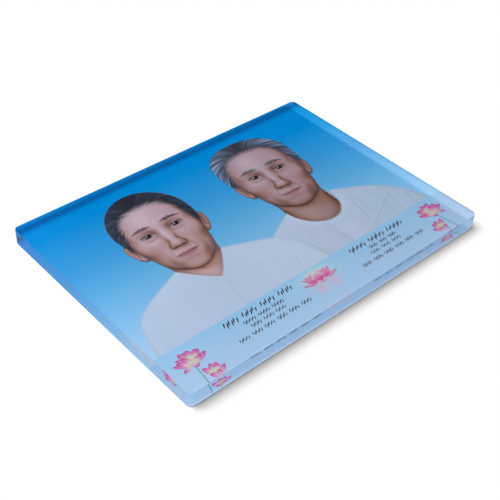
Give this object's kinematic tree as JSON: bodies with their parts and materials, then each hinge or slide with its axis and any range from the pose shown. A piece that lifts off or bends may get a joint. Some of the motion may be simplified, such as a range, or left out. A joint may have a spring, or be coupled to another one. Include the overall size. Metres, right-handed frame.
{
  "type": "crystal photo block",
  "caption": "Clear glass slab with round corners and polished edges, with a printed picture bonded to its back behind a sealed protective backing.",
  "frame": {"origin": "centre of the face that the block rests on, the underside of the protective backing", "axes": "+X to the picture's right, +Y to the picture's top, +Z out of the picture through the glass"},
  "size_m": [0.345, 0.25, 0.0159],
  "materials": {
    "crystal_glass": "polished clear glass",
    "clear_adhesive": "clear optical adhesive",
    "dye_print": "printed photographic film",
    "white_film": "white opaque polyester film",
    "backing_adhesive": "acrylic adhesive layer",
    "cured_resin": "cured clear resin bead",
    "white_pvc": "fine matte PVC sheet"
  },
  "bodies": {
    "root": {"crystal_slab": "crystal_glass", "optical_adhesive": "clear_adhesive", "photo_print": "dye_print", "white_opaque_film": "white_film", "backing_adhesive": "backing_adhesive", "edge_seal": "cured_resin", "protective_backing": "white_pvc"}
  },
  "joints": []
}
